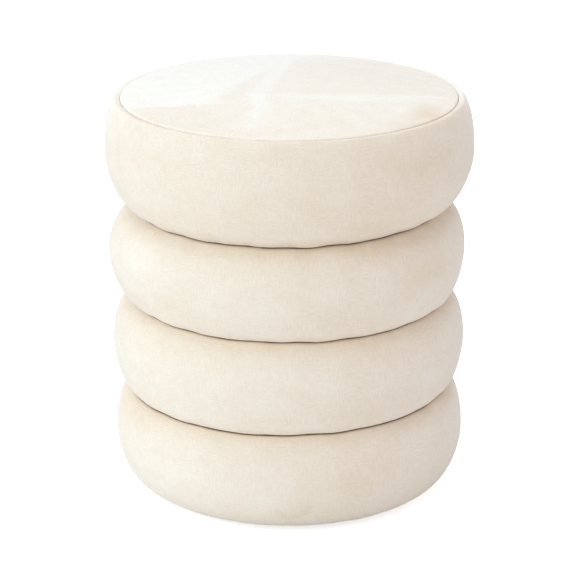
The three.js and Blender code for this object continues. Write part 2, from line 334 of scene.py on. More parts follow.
def seat_band_outline(radius):
    start = (CREASE_RADII[UPPER], CREASES[UPPER])
    widest = widest_of(radius, start[1], SEAM_HEIGHT, SEAT_BELLY)
    edge = (SEAM_RADIUS + LIP, SEAM_HEIGHT + BAND_LIP_RISE)
    return (
        straight((TURNED_IN, start[1]), start, 4) + lower_side(start, widest)
        + upper_side(widest, edge, **SEAT_SHOULDER) + rolled_edge(edge, BAND_LIP_DEPTH, 1)
    )


def crown_height(radius):
    """The height of the seat panel at a radius, before it rolls into its seam."""
    edge = SEAM_HEIGHT + PANEL_LIP_RISE
    return edge + (CROWN_HEIGHT - edge) * (1 - (radius / SEAM_RADIUS) ** 2)


def panel_outline():
    edge = SEAM_RADIUS - LIP
    steps = steps_along((0, 0), (edge, 0))
    crown = [(edge * i / steps, crown_height(edge * i / steps)) for i in range(steps, -1, -1)]
    roll = rolled_edge(crown[0], PANEL_LIP_DEPTH, -1)
    return roll[::-1] + crown


def seat_filling_outline(radius):
    """The whole seat tier's outside as the padding sees it, from its foot up and in to the axis."""
    start = (CREASE_RADII[UPPER], CREASES[UPPER])
    widest = widest_of(radius, start[1], SEAM_HEIGHT, SEAT_BELLY)
    edge = (SEAM_RADIUS, SEAM_HEIGHT)
    crown = [(edge[0] * i / 16, crown_height(edge[0] * i / 16)) for i in range(15, -1, -1)]
    return (
        straight((TURNED_IN, start[1]), start, 4) + lower_side(start, widest)
        + upper_side(widest, edge, **SEAT_SHOULDER) + crown
    )


# ------ how the velvet lies


def unroll(piece, outline, flat=False):
    """Lays the velvet out flat in metres, as the UV map that its pile and weave follow."""
    mesh = piece.data
    co = points_of(piece)
    loops = np.empty(len(mesh.loops), dtype=int)
    mesh.loops.foreach_get("vertex_index", loops)
    if flat:
        spread = co[loops, :2]
    else:
        places = np.array(outline)
        travelled = np.concatenate([[0], np.cumsum(np.linalg.norm(np.diff(places, axis=0), axis=1))])
        reach = np.hypot(radius_of(co)[:, None] - places[:, 0], co[:, 2, None] - places[:, 1])
        up = travelled[np.argmin(reach, axis=1)]
        angle = np.arctan2(co[:, 1], co[:, 0])[loops].reshape(-1, 4)
        crosses = np.ptp(angle, axis=1, keepdims=True) > math.pi
        angle = np.where(crosses & (angle < 0), angle + 2 * math.pi, angle).ravel()
        spread = np.stack([angle * places[:, 0].max(), up[loops]], axis=1)
    layer = mesh.uv_layers[0] if mesh.uv_layers else mesh.uv_layers.new()
    layer.name = "cloth"
    layer.data.foreach_set("uv", spread.ravel())


def store_nap_and_painted_light(piece, nap_and_painted_light):
    """Records which way the pile is brushed, 1 towards the light and -1 away from it, with the painted
    light and shade added to it.
    """
    layer = piece.data.attributes.new("nap_and_painted_light", "FLOAT", "POINT")
    layer.data.foreach_set("value", np.ascontiguousarray(nap_and_painted_light, dtype=float))


def stroke(x, y, path, width):
    """How strongly a stroke of the hand along a path marks each place, from 0 to 1."""
    nearest = np.full(x.shape, np.inf)
    for (x0, y0), (x1, y1) in zip(path, path[1:]):
        dx, dy = x1 - x0, y1 - y0
        share = np.clip(((x - x0) * dx + (y - y0) * dy) / (dx * dx + dy * dy), 0, 1)
        nearest = np.minimum(nearest, np.hypot(x - x0 - share * dx, y - y0 - share * dy))
    return np.exp(-((nearest / width) ** 2))


def beside(x, y, start, end, soft):
    """1 on the left of a line, looking along it, and 0 on its right."""
    length = math.dist(start, end)
    side = ((end[0] - start[0]) * (y - start[1]) - (end[1] - start[1]) * (x - start[0])) / length
    return ease(side, -soft, soft)


def patch(x, y, centre, size):
    return np.exp(-(((x - centre[0]) / size[0]) ** 2) - ((y - centre[1]) / size[1]) ** 2)


# Strokes of a hand over the seat panel: strength, width and path, in mm as seen from above.
PANEL_STROKES = (
    (0.38, 8, ((-3, 98), (-22, 0), (-32, -38), (-26, -80), (-36, -130))),
    (0.34, 8, ((-24, -42), (20, -48), (63, -47), (100, -38), (138, -26))),
    (0.26, 3, ((50, -37), (100, -29), (142, -19))),
    (0.24, 3, ((50, -56), (100, -49), (144, -34))),
    (0.25, 9, ((76, -118), (104, -78), (118, -52))),
)


def panel_pile_and_painted_light(co):
    """The seat panel as a hand has smoothed it: one pale sweep, and a few strokes across."""
    x, y = co[:, 0] / MM, co[:, 1] / MM
    above = beside(x, y, (-157, -55), (-74, -65), 3)
    left = beside(x, y, (-70, -45), (-16, 75), 9)
    # A pale ground over the whole panel: partly the pile's lie, partly a painted highlight where light
    # falls on the top.
    nap_and_painted_light = 0.52 + 0.48 * above * left
    nap_and_painted_light -= 0.2 * (1 - above) * (1 - ease(x, -80, -40))
    nap_and_painted_light -= 0.12 * ease(x, -10, 20) * ease(y, -45, -30)
    for strength, width, path in PANEL_STROKES:
        nap_and_painted_light += strength * stroke(x, y, path, width)
    nap_and_painted_light -= 1.1 * patch(x, y, (130, -80), (18, 28))
    nap_and_painted_light -= 0.5 * patch(x, y, (100, -118), (30, 14))
    nap_and_painted_light += 0.3 * ease(y, 95, 125) - 0.35 * patch(x, y, (72, 118), (22, 16))
    nap_and_painted_light -= 0.15 * ease(-y, 60, 140)
    return nap_and_painted_light


MOTTLES = 46  # soft marks of handling on one band
PAINTED_SHADE_DEPTH = 15  # mm below a crease over which the painted shade of the tier above fades out


def band_pile_and_painted_shade(co, foot_z, head_z, seed, painted_head_shade):
    """A band's pile: warm painted shade below its head, where the tier above shadows it, and mottled by
    handling.
    """
    angle = np.arctan2(co[:, 1], co[:, 0])
    around, up = angle * TIER_RADIUS / MM, (co[:, 2] - foot_z) / MM
    below_head = (head_z - co[:, 2]) / MM
    nap_and_painted_light = painted_head_shade * np.exp(-np.maximum(below_head, 0) / PAINTED_SHADE_DEPTH)
    chance = np.random.default_rng(seed)
    girth = 2 * math.pi * TIER_RADIUS / MM
    for _ in range(MOTTLES):
        at = (chance.uniform(-girth / 2, girth / 2), chance.uniform(5, (head_z - foot_z) / MM - 5))
        size = (chance.uniform(14, 46), chance.uniform(7, 20))
        strength = chance.uniform(-0.34, 0.3)
        for turn in (-girth, 0, girth):  # so that a mark goes on past the back
            nap_and_painted_light += strength * patch(around, up, (at[0] + turn, at[1]), size)
    return np.clip(nap_and_painted_light, -1, 1)


IN_CREASE = 1 * MM  # how far out of its crease the velvet still lies flat
FOOT_REACH = 3.2 * MM  # how far out of a crease the painted shade reaches, above it and below it
HEAD_REACH = 4 * MM
# how much painted shade darkens the pile in a crease
CREASE_SHADE = 1.9


def paint_crease_shade(nap_and_painted_light, co, crease, reach):
    """Painted shade where a crease hides the pile: the colour is darkened there to stand for the shadow
    in the crease.
    """
    turn = CREASE_RADII[crease]
    inside = 1 - ease(radius_of(co), turn + IN_CREASE, turn + reach)
    return nap_and_painted_light - CREASE_SHADE * inside * (np.abs(co[:, 2] - CREASES[crease]) < 12 * MM)


def paint_seat_band_light(nap_and_painted_light, co, low_z, high_z):
    """Painted light on the seat band: a painted highlight at the back by the seam, and painted shade
    over the band that deepens towards its foot.
    """
    behind = ease(co[:, 1], -90 * MM, 20 * MM)
    nap_and_painted_light = nap_and_painted_light + behind * np.exp((co[:, 2] - high_z) / (22 * MM))
    return nap_and_painted_light - (0.12 + 0.28 * (high_z - co[:, 2]) / (high_z - low_z))


# ------ filling the velvet


FILLING_FRAMES = 20


def swell(piece, held, most, loose=1.0, pressure=4.0, shrink=-0.004):
    """Fills the velvet with air pressure, sewn edges held, and caps how far any point may move.

    The looseness is 0 where the velvet lies pressed in a crease and 1 where it is free.
    """
    group = piece.vertex_groups.new(name="sewn")
    group.add([int(i) for i in np.flatnonzero(held)], 1.0, "REPLACE")
    start = points_of(piece)
    only(piece)
    bpy.ops.object.modifier_add(type="CLOTH")
    cloth = piece.modifiers[-1]
    settings = cloth.settings
    settings.quality = 6
    settings.mass = 0.35
    settings.tension_stiffness = 40
    settings.compression_stiffness = 40
    settings.shear_stiffness = 12
    settings.bending_stiffness = 1.5
    settings.use_pressure = True
    settings.uniform_pressure_force = pressure
    settings.shrink_min = shrink
    settings.vertex_group_mass = group.name
    settings.effector_weights.gravity = 0
    cloth.collision_settings.use_collision = False
    cloth.point_cache.frame_start = 1
    cloth.point_cache.frame_end = FILLING_FRAMES
    for number in range(1, FILLING_FRAMES + 1):
        bpy.context.scene.frame_set(number)
    bpy.ops.object.modifier_apply(modifier=cloth.name)
    bpy.context.scene.frame_set(1)
    moved = points_of(piece) - start
    far = np.linalg.norm(moved, axis=1, keepdims=True)
    share = np.minimum(1, most / np.maximum(far, 1e-9)) * np.broadcast_to(loose, len(far))[:, None]
    put_points(piece, start + moved * share)
    piece.vertex_groups.clear()


def fold_mark(co, path, width):
    """How strongly a fold marks each place. Its path is in mm, around from the front and up."""
    around = np.arctan2(co[:, 0], -co[:, 1]) * TIER_RADIUS
    return stroke(around / MM, co[:, 2] / MM, path, width / MM)


def press_fold(piece, path, width, depth):
    """Presses a short fold into the velvet."""
    co = points_of(piece)
    put_points(piece, co - normals_of(piece) * (depth * fold_mark(co, path, width))[:, None])


def gather(piece, crease, seed, depth=0.35 * MM):
    """Small puckers in the velvet where it is drawn into a crease, dying out away from it."""
    co = points_of(piece)
    angle = np.arctan2(co[:, 1], co[:, 0])
    near = np.exp(-np.abs(co[:, 2] - CREASES[crease]) / (7 * MM))
    near *= ease(radius_of(co), CREASE_RADII[crease], CREASE_RADII[crease] + 6 * MM)
    puckers = waves(angle, seed, (37, 53, 68)) * (0.55 + 0.45 * waves(angle, seed + 2, (3, 5)))
    put_points(piece, co + normals_of(piece) * (depth * near * puckers)[:, None])


def finish_velvet(piece, node):
    apply_modifier(piece, "SUBSURF", levels=1, render_levels=1)
    apply_modifier(piece, "SOLIDIFY", thickness=VELVET_THICKNESS, offset=-1)
    ready(piece, "velvet", node)


# ------ velvet pieces

# Each tier's widest radius before it is filled, and how far its padding sits off to the right.
TIER_RADII = {"bottom": TIER_RADIUS - 1.6 * MM, "third": TIER_RADIUS - 0.8 * MM,
              "second": TIER_RADIUS + 0.1 * MM, "seat": SEAT_RADIUS - 1.4 * MM}
SIDEWAYS = {"bottom": 0.0, "third": -0.7 * MM, "second": -2.4 * MM, "seat": 0.3 * MM}
OUTLINES = {"bottom": bottom_outline(TIER_RADII["bottom"]),
            "third": middle_outline(LOWER, MIDDLE, TIER_RADII["third"]),
            "second": middle_outline(MIDDLE, UPPER, TIER_RADII["second"]),
            "seat": seat_band_outline(TIER_RADII["seat"])}
BAND_CAP = 4 * MM  # how far filling may move a band
PANEL_CAP = 1.5 * MM
FREE_REACH = 9 * MM  # how far out of a crease the velvet is free to fill out
SEWN_STRIP = 1 * MM  # how much of the velvet beside a seam or a crease stays where it is

FOLD_PAINTED_SHADE = 0.5  # how much painted shade darkens the pile in a fold

# A fold's path (mm, around from the front and up), its width and its depth.
FLOOR_FOLD = (((-9, 31), (-4, 24), (1, 21), (8, 22), (14, 28), (20, 34)), 2.5 * MM, 1.5 * MM)
SIDE_FOLD = (((146, 208), (158, 220)), 3 * MM, 0.9 * MM)


def sewn_places(co, foot, head):
    """The places of a band that are sewn or pressed down, and stay where they are."""
    radius, low_z, high_z = radius_of(co), co[:, 2].min(), co[:, 2].max()
    foot_radius = BASE_TURN if foot is None else CREASE_RADII[foot]
    held = (radius < foot_radius + SEWN_STRIP / 2) & (co[:, 2] < low_z + SEWN_STRIP)
    if head is None:
        return held | (radius < SEAM_RADIUS + LIP + SEWN_STRIP) & (co[:, 2] > high_z - 6 * MM)
    return held | (radius < CREASE_RADII[head] + SEWN_STRIP / 2) & (co[:, 2] > high_z - SEWN_STRIP)


def looseness(co, creases):
    """0 where a band lies pressed in a crease, easing to 1 where it is free to fill out."""
    loose = np.ones(len(co))
    for crease in creases:
        turn = CREASE_RADII[crease]
        pressed = 1 - ease(radius_of(co), turn + IN_CREASE, turn + FREE_REACH)
        loose -= pressed * (np.abs(co[:, 2] - CREASES[crease]) < 15 * MM)
    return loose


def make_band(tier, foot, head, seed, painted_head_shade, folds=()):
    """One tier's velvet, from its outline to its finished piece."""
    piece = turn_profile(tier + "_band_velvet", OUTLINES[tier], VELVET_STEPS)
    co = points_of(piece)
    low_z, high_z = co[:, 2].min(), co[:, 2].max()
    creases = [crease for crease in (foot, head) if crease is not None]
    unroll(piece, OUTLINES[tier])
    nap_and_painted_light = band_pile_and_painted_shade(co, low_z, high_z, seed, painted_head_shade)
    if head is None:
        nap_and_painted_light = paint_seat_band_light(nap_and_painted_light, co, low_z, high_z)
    if foot is not None:
        nap_and_painted_light = paint_crease_shade(nap_and_painted_light, co, foot, FOOT_REACH)
    if head is not None:
        nap_and_painted_light = paint_crease_shade(nap_and_painted_light, co, head, HEAD_REACH)
    # Painted shade in each fold, besides the fold that is pressed into the velvet below.
    for path, width, depth in folds:
        nap_and_painted_light -= FOLD_PAINTED_SHADE * fold_mark(co, path, width)
    store_nap_and_painted_light(piece, nap_and_painted_light)
    lean_to_creases(piece, foot, head, low_z, high_z, SIDEWAYS[tier])
    swell(piece, sewn_places(co, foot, head), BAND_CAP, looseness(co, creases))
    for crease in creases:
        gather(piece, crease, seed + crease)
    for path, width, depth in folds:
        press_fold(piece, path, width, depth)
    keep_between(piece, foot, head, CREASE_GAP)
    if foot is None:
        co = points_of(piece)
        co[:, 2] = np.maximum(co[:, 2], HEM_HEIGHT)
        put_points(piece, co)
    finish_velvet(piece, tier + "_band")
    return piece


def make_panel():
    """The velvet disc of the seat, crowned in the middle and rolled into its seam."""
    outline = panel_outline()
    piece = turn_profile("seat_panel_velvet", outline, VELVET_STEPS)
    co = points_of(piece)
    unroll(piece, outline, flat=True)
    store_nap_and_painted_light(piece, panel_pile_and_painted_light(co))
    held = radius_of(co) > SEAM_RADIUS - LIP - SEWN_STRIP
    swell(piece, held, PANEL_CAP, pressure=0.6, shrink=-0.001)
    finish_velvet(piece, "seat_panel")
    return piece


def make_velvet():
    return [
        # The fifth number of each band is the warm painted shade below its head.
        make_band("bottom", None, LOWER, 31, -0.65, [FLOOR_FOLD]),
        make_band("third", LOWER, MIDDLE, 47, -0.6),
        make_band("second", MIDDLE, UPPER, 53, -0.52, [SIDE_FOLD]),
        make_band("seat", UPPER, None, 67, -0.1),
        make_panel(),
    ]


# ------ foam and wadding


def foam_depth(outline, foot_radius, head_radius):
    """How far inside the velvet the foam lies at each place of an outline."""
    places = np.array(outline)
    lower = places[:, 1] < places[np.argmax(places[:, 0]), 1]
    turn = np.where(lower, foot_radius, head_radius)
    return FOAM_INSET + FOAM_EASE * ease(places[:, 0] - turn, -3 * MM, 5 * MM)


def eased_corner(outline):
    """An outline that runs up and inwards, without the places where it doubles back."""
    kept = [outline[0]]
    for place in outline[1:]:
        if place[0] < kept[-1][0] - 0.4 * MM and place[1] > kept[-1][1]:
            kept.append(place)
    return kept


def make_foam_ring(tier, foot, head):
    """A foam ring inside a tier's velvet, glued round the core."""
    outline = OUTLINES[tier]
    bore = CORE_RADIUS + GLUE_GAP
    depth = foam_depth(outline, BASE_TURN if foot is None else CREASE_RADII[foot], CREASE_RADII[head])
    skin = [place for place in inset(outline, depth) if place[0] > bore + 1 * MM]
    ring = [(bore, skin[0][1])] + skin + [(bore, skin[-1][1]), (bore, skin[0][1])]
    piece = turn_profile(tier + "_foam", ring, FOAM_STEPS)
    low_z = HEM_HEIGHT if foot is None else CREASES[foot]
    lean_to_creases(piece, foot, head, low_z, CREASES[head], SIDEWAYS[tier])
    keep_between(piece, foot, head, FOAM_INSET)
    ready(piece, "foam", tier + "_foam_ring")
    return piece


def make_seat_filling():
    """The seat tier's foam, and the wadding that lies over it from its widest to the middle."""
    outline = seat_filling_outline(TIER_RADII["seat"])
    places = np.array(outline)
    belly = int(np.argmax(places[:, 0]))
    above = np.arange(len(places)) >= belly
    under_seam = np.exp(-(((places[:, 0] - SEAM_RADIUS) / (9 * MM)) ** 2)) * above
    outside = foam_depth(outline, CREASE_RADII[UPPER], 0.0) + SEAM_ALLOWANCE * under_seam
    climb = ease(places[:, 1], places[belly, 1], SEAM_HEIGHT - 4 * MM)
    thickness = WADDING_EDGE + (WADDING_THICKNESS - WADDING_EDGE) * climb
    over = eased_corner(inset(outline, outside)[belly:])
    under = eased_corner(inset(outline, outside + thickness)[belly:])
    over[-1] = (0, over[-1][1])
    under[-1] = (0, under[-1][1])
    wadding = turn_profile("seat_wadding_pad", over + under[::-1] + over[:1], FOAM_STEPS)

    reach = ease(places[:, 1], places[belly, 1] - 20 * MM, places[belly, 1] - 6 * MM)
    skin = inset(outline, outside + (WADDING_EDGE + WADDING_GAP) * reach)[:belly]
    skin += inset(under, WADDING_GAP)
    skin[-1] = (0, skin[-1][1])
    seat = turn_profile("seat_foam_pad", [(0, skin[0][1])] + skin, FOAM_STEPS)
    for piece in (wadding, seat):
        lean_to_creases(piece, UPPER, None, CREASES[UPPER], SEAM_HEIGHT, SIDEWAYS["seat"])
    keep_between(seat, UPPER, None, FOAM_INSET)
    ready(wadding, "wadding", "seat_wadding")
    ready(seat, "foam", "seat_foam")
    return seat, wadding


def make_foam():
    rings = [make_foam_ring("bottom", None, LOWER), make_foam_ring("third", LOWER, MIDDLE),
             make_foam_ring("second", MIDDLE, UPPER)]
    seat, wadding = make_seat_filling()
    return [*rings, seat], wadding


# ------ thread, cords, dust cover

STITCHES = 320
STITCH_LENGTH = 1.5 * MM
STITCH_RADIUS = 0.27 * MM
STITCH_SLANT = math.radians(28)
STITCH_SINK = 0.75 * MM  # how far the stitches lie below the seam's height


def make_stitches():
    """The seam's thread: short slanting stitches that cross its groove."""
    nothing_selected()
    bpy.ops.mesh.primitive_cylinder_add(
        vertices=6, radius=STITCH_RADIUS, depth=STITCH_LENGTH, end_fill_type="NGON",
        location=(0, 0, 0), rotation=(0, math.pi / 2, STITCH_SLANT),
    )
    stitch = bpy.context.object
    stitch.name = "seat_seam_stitches"
    bpy.ops.object.transform_apply(location=True, rotation=True, scale=True)
    bpy.ops.object.mode_set(mode="EDIT")
    bpy.ops.mesh.select_mode(type="FACE")
    bpy.ops.mesh.select_all(action="DESELECT")
    bpy.ops.object.mode_set(mode="OBJECT")
    for face in stitch.data.polygons:
        face.select = len(face.vertices) == 6  # the two ends
    bpy.ops.object.mode_set(mode="EDIT")
    bpy.ops.mesh.extrude_faces_move(TRANSFORM_OT_shrink_fatten={"value": 0.3 * MM})
    bpy.ops.transform.resize(value=(1, 1, 0.55))
    bpy.ops.mesh.select_all(action="SELECT")
    bpy.ops.transform.translate(value=(SEAM_RADIUS, 0, SEAM_HEIGHT - STITCH_SINK))
    bpy.ops.object.mode_set(mode="OBJECT")
    chance = np.random.default_rng(5)
    nothing_selected()
    for i in range(1, STITCHES):
        copy = stitch.copy()
        copy.data = stitch.data.copy()
        bpy.context.collection.objects.link(copy)
        copy.rotation_euler = (0, 0, (i + chance.uniform(-0.12, 0.12)) / STITCHES * 2 * math.pi)
        copy.select_set(True)
    stitch.select_set(True)
    bpy.context.view_layer.objects.active = stitch
    bpy.ops.object.transform_apply(location=True, rotation=True, scale=True)
    bpy.ops.object.join()
    bpy.ops.object.shade_smooth_by_angle(angle=math.radians(50))
    ready(stitch, "thread", "seat_seam_thread")
    return stitch


def make_cord(name, node, height, turns=66, strand=0.78 * MM, lay=0.7 * MM):
    """A crease cord of three twisted strands, closed in a ring."""
    per_turn = 8  # points along a strand in one turn of the twist
    strands = []
    for k in range(3):
        curve = bpy.data.curves.new(f"{name}_{k}", "CURVE")
        curve.dimensions = "3D"
        curve.bevel_depth = strand
        curve.bevel_resolution = 1
        spline = curve.splines.new("POLY")
        count = turns * per_turn
        spline.points.add(count - 1)
        spline.use_cyclic_u = True
        for i in range(count):
            around = i / count * 2 * math.pi
            twist = i / per_turn * 2 * math.pi + k * 2 * math.pi / 3
            radius = CORD_RADIUS + lay * math.cos(twist)
            spline.points[i].co = (radius * math.cos(around), radius * math.sin(around),
                                   height + lay * math.sin(twist), 1)
        strand_piece = bpy.data.objects.new(curve.name, curve)
        bpy.context.collection.objects.link(strand_piece)
        strands.append(strand_piece)
    nothing_selected()
    for piece in strands:
        piece.select_set(True)
    bpy.context.view_layer.objects.active = strands[0]
    bpy.ops.object.convert(target="MESH")
    bpy.ops.object.join()
    cord = bpy.context.object
    cord.name = name
    bpy.ops.object.mode_set(mode="EDIT")
    bpy.ops.mesh.select_all(action="SELECT")
    bpy.ops.mesh.normals_make_consistent(inside=False)
    bpy.ops.object.mode_set(mode="OBJECT")
    bpy.ops.object.shade_smooth()
    ready(cord, "cord", node)
    return cord


STAPLES = 12
DUST_COVER_THICKNESS = 0.3 * MM


def make_dust_cover():
    """The cloth under the base, pulled a little between its staples."""
    height = low("dust_cover").z + 0.1 * MM
    radius = DUST_COVER_RADIUS
    rings = 26
    outline = [(radius * i / rings, height) for i in range(rings, -1, -1)]
    piece = turn_profile("dust_cover_sheet", outline, 144)
    co = points_of(piece)
    angle = np.arctan2(co[:, 1], co[:, 0])
    edge = ease(radius_of(co), radius * 0.55, radius)
    between_staples = (1 - np.cos(STAPLES * angle)) / 2
    ripples = waves(angle, 4, (23, 31, 44)) * 0.5 + 0.5
    co[:, 2] += edge * (0.1 * between_staples + 0.08 * ripples) * MM
    co[:, :2] *= (1 - 0.006 * edge * between_staples)[:, None]
    put_points(piece, co)
    apply_modifier(piece, "SOLIDIFY", thickness=DUST_COVER_THICKNESS, offset=1)
    ready(piece, "dust_cover_cloth", "dust_cover")
    return piece


# ------ node helpers


def add(tree, kind, inputs=None, **settings):
    """A shader node with its settings and inputs. An input is a value or a socket to link."""
    node = tree.nodes.new(kind)
    for key, value in settings.items():
        setattr(node, key, value)
    for key, value in (inputs or {}).items():
        if isinstance(value, bpy.types.NodeSocket):
            tree.links.new(value, node.inputs[key])
        else:
            node.inputs[key].default_value = value
    return node


def reckon(tree, operation, *values, clamp=False):
    inputs = dict(enumerate(values))
    return add(tree, "ShaderNodeMath", inputs, operation=operation, use_clamp=clamp).outputs[0]


def blend_colour(tree, share, first, second):
    node = add(tree, "ShaderNodeMix", {0: share, 6: first, 7: second}, data_type="RGBA")
    return node.outputs[2]


def stretch(tree, vector, scale):
    node = add(tree, "ShaderNodeMapping", {"Vector": vector, "Scale": scale})
    return node.outputs["Vector"]


def noise(tree, vector, scale, detail=2.0, roughness=0.5):
    inputs = {"Vector": stretch(tree, vector, scale), "Scale": 1.0, "Detail": detail,
              "Roughness": roughness}
    return add(tree, "ShaderNodeTexNoise", inputs).outputs["Fac"]


def brighten(tree, colour, amount):
    """A colour multiplied by a value near 1."""
    node = add(tree, "ShaderNodeVectorMath", {0: colour, 3: amount}, operation="SCALE")
    return node.outputs["Vector"]


def new_group(name, inputs, outputs):
    group = bpy.data.node_groups.new(name, "ShaderNodeTree")
    for label, kind, value in inputs:
        socket = group.interface.new_socket(label, in_out="INPUT", socket_type="NodeSocket" + kind)
        if value is not None:
            socket.default_value = value
    for label, kind in outputs:
        group.interface.new_socket(label, in_out="OUTPUT", socket_type="NodeSocket" + kind)
    enter = group.nodes.new("NodeGroupInput").outputs
    leave = group.nodes.new("NodeGroupOutput").inputs
    return group, enter, leave


def use_group(tree, group, inputs):
    return add(tree, "ShaderNodeGroup", inputs, node_tree=group).outputs


def new_material(name, **constants):
    """A material with one Principled shader, its plain numbers set on the shader itself."""
    material = bpy.data.materials.new(name)
    material.use_nodes = True
    tree = material.node_tree
    tree.nodes.clear()
    output = tree.nodes.new("ShaderNodeOutputMaterial")
    shader = tree.nodes.new("ShaderNodeBsdfPrincipled")
    tree.links.new(shader.outputs["BSDF"], output.inputs["Surface"])
    for key, value in constants.items():
        shader.inputs[key.replace("_", " ")].default_value = value
    return material, tree, shader


def bump(tree, shader, height, distance, strength=1.0):
    node = add(tree, "ShaderNodeBump", {"Height": height, "Distance": distance, "Strength": strength})
    tree.links.new(node.outputs["Normal"], shader.inputs["Normal"])


def object_place(tree):
    return tree.nodes.new("ShaderNodeTexCoord").outputs["Object"]


def dress(material, *pieces):
    for piece in pieces:
        if not piece.material_slots:
            piece.data.materials.append(material)
        for slot in piece.material_slots:
            slot.material = material


# ------ shared effects


def pile_group():
    """Velvet pile: fine rows and columns of the weave, grain, and its colours by how the pile lies and
    by the painted light and shade put into that.
    """
    group, enter, leave = new_group("velvet_pile", [
        ("Cloth", "Vector", None), ("Nap_and_painted_light", "Float", 0.0), ("Resting", "Color", None),
        ("Brushed", "Color", None), ("Shaded", "Color", None), ("Crease_shadow", "Color", None),
        ("Mottle", "Float", 0.5),
    ], [("Color", "Color"), ("Height", "Float")])
    cloth = enter["Cloth"]
    rows = noise(group, cloth, (130, 620, 1), detail=3)
    columns = noise(group, cloth, (560, 110, 1), detail=3)
    grain = noise(group, cloth, (820, 820, 1), detail=2)
    where = reckon(group, "MULTIPLY_ADD", noise(group, cloth, (42, 55, 1)), 5.0, -2.0, clamp=True)
    rows = reckon(group, "MULTIPLY", rows, where)
    columns = reckon(group, "MULTIPLY", columns, reckon(group, "SUBTRACT", 1.0, where))
    weave = reckon(group, "ADD", rows, columns)
    height = reckon(group, "MULTIPLY_ADD", grain, 0.55, reckon(group, "MULTIPLY", weave, 0.6))
    mottle = reckon(group, "SUBTRACT", noise(group, cloth, (36, 52, 1), detail=4, roughness=0.6), 0.5)
    nap_and_painted_light = reckon(group, "MULTIPLY_ADD", mottle, enter["Mottle"], enter["Nap_and_painted_light"])
    lifted = blend_colour(group, nap_and_painted_light, enter["Resting"], enter["Brushed"])
    turned = blend_colour(group, reckon(group, "MULTIPLY", nap_and_painted_light, -1.0, clamp=True),
                          lifted, enter["Shaded"])
    # Painted shadow colour for the pile in a crease, where the value falls below -1.
    turned = blend_colour(group, reckon(group, "MULTIPLY_ADD", nap_and_painted_light, -1.0, -1.25, clamp=True),
                          turned, enter["Crease_shadow"])
    shade = reckon(group, "MULTIPLY_ADD", height, 0.42, 0.785)
    group.links.new(brighten(group, turned, shade), leave["Color"])
    group.links.new(height, leave["Height"])
    return group


def fibre_group():
    """Tangled short fibres or cells: a colour between two, and a height."""
    group, enter, leave = new_group("fibres", [
        ("Place", "Vector", None), ("Dark", "Color", None), ("Light", "Color", None),
        ("Fineness", "Float", 800.0), ("Contrast", "Float", 1.0),
    ], [("Color", "Color"), ("Height", "Float")])
    fine = add(group, "ShaderNodeTexNoise", {"Vector": enter["Place"], "Scale": enter["Fineness"],
                                             "Detail": 4.0, "Roughness": 0.6}).outputs["Fac"]
    broad = noise(group, enter["Place"], (18, 18, 18), detail=3)
    mixed = reckon(group, "MULTIPLY_ADD", broad, 0.5, reckon(group, "MULTIPLY", fine, 0.5))
    spread = reckon(group, "MULTIPLY", reckon(group, "SUBTRACT", mixed, 0.5), enter["Contrast"])
    share = reckon(group, "MULTIPLY_ADD", spread, 3.0, 0.5, clamp=True)
    group.links.new(blend_colour(group, share, enter["Dark"], enter["Light"]), leave["Color"])
    group.links.new(fine, leave["Height"])
    return group


def timber_group():
    """Wood grain along the place's X: early and late wood, fine pores, a slow change of tone."""
    group, enter, leave = new_group("timber_grain", [
        ("Place", "Vector", None), ("Early", "Color", None), ("Late", "Color", None),
        ("Rings", "Float", 260.0),
    ], [("Color", "Color"), ("Height", "Float")])
    bent = noise(group, enter["Place"], (6, 26, 26), detail=2)
    across = add(group, "ShaderNodeSeparateXYZ", {0: enter["Place"]}).outputs
    reach = reckon(group, "MULTIPLY_ADD", across["Y"], enter["Rings"],
                   reckon(group, "MULTIPLY", bent, 9.0))
    ring = reckon(group, "SINE", reckon(group, "MULTIPLY_ADD", across["Z"], 90.0, reach))
    ring = reckon(group, "MULTIPLY_ADD", ring, 0.5, 0.5)
    pores = noise(group, enter["Place"], (60, 1500, 1500), detail=2)
    tone = noise(group, enter["Place"], (4, 14, 14), detail=2)
    share = reckon(group, "MULTIPLY_ADD", ring, 0.45, reckon(group, "MULTIPLY", pores, 0.35))
    share = reckon(group, "MULTIPLY_ADD", tone, 0.4, reckon(group, "SUBTRACT", share, 0.15), clamp=True)
    group.links.new(blend_colour(group, share, enter["Early"], enter["Late"]), leave["Color"])
    group.links.new(pores, leave["Height"])
    return group


def scuff_group():
    """Handling marks: thin scratches and dull spots, as a mask and as a roughness."""
    group, enter, leave = new_group("scuffs", [
        ("Place", "Vector", None), ("Smooth", "Float", 0.3), ("Dull", "Float", 0.6),
    ], [("Mask", "Float"), ("Roughness", "Float")])
    long = noise(group, enter["Place"], (2600, 240, 700), detail=3)
    spots = noise(group, enter["Place"], (330, 330, 330), detail=3)
    mask = reckon(group, "MULTIPLY_ADD", reckon(group, "MULTIPLY", long, spots), 6.0, -1.1, clamp=True)
    span = reckon(group, "SUBTRACT", enter["Dull"], enter["Smooth"])
    group.links.new(mask, leave["Mask"])
    group.links.new(reckon(group, "MULTIPLY_ADD", mask, span, enter["Smooth"]), leave["Roughness"])
    return group


# ------ finishes

# The velvet's colours, by how its pile lies. The shaded colour is also the painted shade below heads,
# in folds and down the seat band, the brushed colour also the painted highlight at the seat band's back
# and on the top, and the crease shadow colour is painted shade in the creases.
RESTING_IVORY = (0.87, 0.79, 0.695, 1)
BRUSHED_IVORY = (0.93, 0.918, 0.872, 1)
SHADED_IVORY = (0.80, 0.67, 0.53, 1)
CREASE_SHADOW_IVORY = (0.2, 0.12, 0.07, 1)


